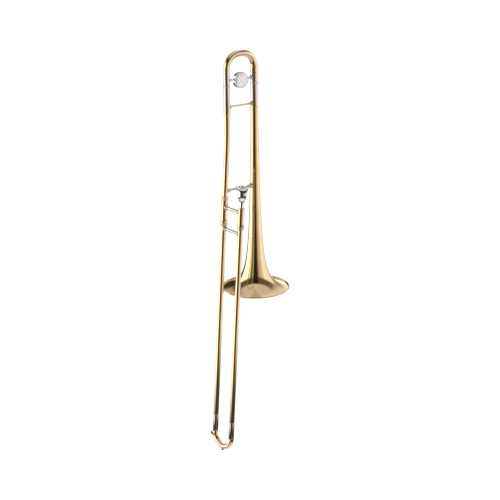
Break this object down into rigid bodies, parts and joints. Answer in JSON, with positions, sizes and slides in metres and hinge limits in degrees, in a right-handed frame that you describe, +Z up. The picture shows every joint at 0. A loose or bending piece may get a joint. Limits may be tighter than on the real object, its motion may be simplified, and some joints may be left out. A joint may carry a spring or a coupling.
{
  "type": "tenor trombone",
  "caption": "Slide trombone hanging bell down: flared bell, tuning slide with balance weight, hand slide with braces, mouthpiece and water key.",
  "frame": {"origin": "centre of the bell's rim plane", "axes": "+Z up the bell axis towards the tuning slide, -X towards the neck leg, the hand slide hangs down on the -X side and turns towards -Y"},
  "size_m": [0.2728, 0.2032, 1.1961],
  "materials": {
    "lacquered_brass": "clear lacquered, mirror polished",
    "nickel_silver": "polished nickel silver",
    "weight_plating": "nickel plated, polished",
    "chrome_tube": "hard chrome",
    "silver_plate": "silver plated, polished",
    "steel": "bright steel",
    "rubber": "matt black",
    "cork": "natural cork"
  },
  "bodies": {
    "bell_section": {"bell_flare": "lacquered_brass", "bell_stem": "lacquered_brass", "bell_rim_wire": "steel", "bell_tail_ferrule": "lacquered_brass", "tuning_sleeve_bell_side": "nickel_silver", "tuning_sleeve_neck_side": "nickel_silver", "neck_ferrule": "lacquered_brass", "gooseneck": "lacquered_brass", "neck_tenon": "nickel_silver", "upper_brace": "lacquered_brass", "lower_brace_tube": "nickel_silver", "lower_brace_flange_bell_side": "nickel_silver", "lower_brace_flange_neck_side": "nickel_silver"},
    "tuning_slide": {"tuning_bow": "lacquered_brass", "tuning_ferrule_bell_side": "lacquered_brass", "tuning_ferrule_neck_side": "lacquered_brass", "tuning_leg_bell_side": "nickel_silver", "tuning_leg_neck_side": "nickel_silver", "tuning_collar_bell_side": "nickel_silver", "tuning_collar_neck_side": "nickel_silver", "weight_rod": "weight_plating", "balance_weight_front": "weight_plating", "balance_weight_back": "weight_plating", "balance_weight_screw": "steel"},
    "lock_nut": {"bell_lock_nut": "lacquered_brass"},
    "inner_slide": {"slide_receiver": "lacquered_brass", "mouthpiece_receiver": "nickel_silver", "cork_barrel_bell_side": "lacquered_brass", "cork_barrel_mouthpiece_side": "lacquered_brass", "barrel_ring": "lacquered_brass", "inner_tube_bell_side": "chrome_tube", "inner_tube_mouthpiece_side": "chrome_tube", "stocking_bell_side": "chrome_tube", "stocking_mouthpiece_side": "chrome_tube", "leadpipe": "nickel_silver", "cork_ring_bell_side": "cork", "cork_ring_mouthpiece_side": "cork", "inner_brace_tube": "nickel_silver", "inner_brace_flange_bell_side": "nickel_silver", "inner_brace_flange_mouthpiece_side": "nickel_silver"},
    "slide_lock": {"slide_lock_ring": "lacquered_brass"},
    "outer_slide": {"outer_tube_bell_side": "lacquered_brass", "outer_tube_mouthpiece_side": "lacquered_brass", "outer_end_ring_bell_side": "lacquered_brass", "outer_end_ring_mouthpiece_side": "lacquered_brass", "outer_brace_tube": "nickel_silver", "outer_brace_flange_bell_side": "nickel_silver", "outer_brace_flange_mouthpiece_side": "nickel_silver", "oversleeve_bell_side": "nickel_silver", "oversleeve_mouthpiece_side": "nickel_silver", "slide_bow": "lacquered_brass", "bumper_socket": "lacquered_brass", "rubber_bumper": "rubber", "water_key_nipple": "lacquered_brass", "water_key_saddle": "lacquered_brass", "water_key_screw": "steel"},
    "water_key": {"water_key_lever": "lacquered_brass", "water_key_cork": "cork", "water_key_spring": "steel"},
    "mouthpiece": {"mouthpiece": "silver_plate"}
  },
  "joints": [
    {"name": "tuning_slide_pull", "type": "slide", "parent": "bell_section", "child": "tuning_slide", "axis": [0, 0, 1], "range_m": [0, 0.055]},
    {"name": "lock_nut_turn", "type": "hinge", "parent": "bell_section", "child": "lock_nut", "pos_m": [-0.10813, 0, 0.2924], "axis": [0.0663, 0, 0.9978], "continuous": true},
    {"name": "slide_swivel", "type": "hinge", "parent": "bell_section", "child": "inner_slide", "pos_m": [-0.10892, 0, 0.28043], "axis": [0.0663, 0, 0.9978], "range_deg": [-20, 15]},
    {"name": "slide_lock_turn", "type": "hinge", "parent": "inner_slide", "child": "slide_lock", "pos_m": [-0.11277, 0, 0.22256], "axis": [0.0663, 0, 0.9978], "range_deg": [0, 35]},
    {"name": "hand_slide", "type": "slide", "parent": "inner_slide", "child": "outer_slide", "axis": [-0.0663, 0, -0.9978], "range_m": [0, 0.58]},
    {"name": "water_key_press", "type": "hinge", "parent": "outer_slide", "child": "water_key", "pos_m": [-0.16466, 0.00956, -0.44197], "axis": [-0.0663, 0, -0.9978], "range_deg": [0, 20], "stiffness_Nm_per_rad": 0.05, "springref_deg": -20.05},
    {"name": "mouthpiece_pull", "type": "slide", "parent": "inner_slide", "child": "mouthpiece", "axis": [0.0663, 0, 0.9978], "range_m": [0, 0.045]}
  ]
}
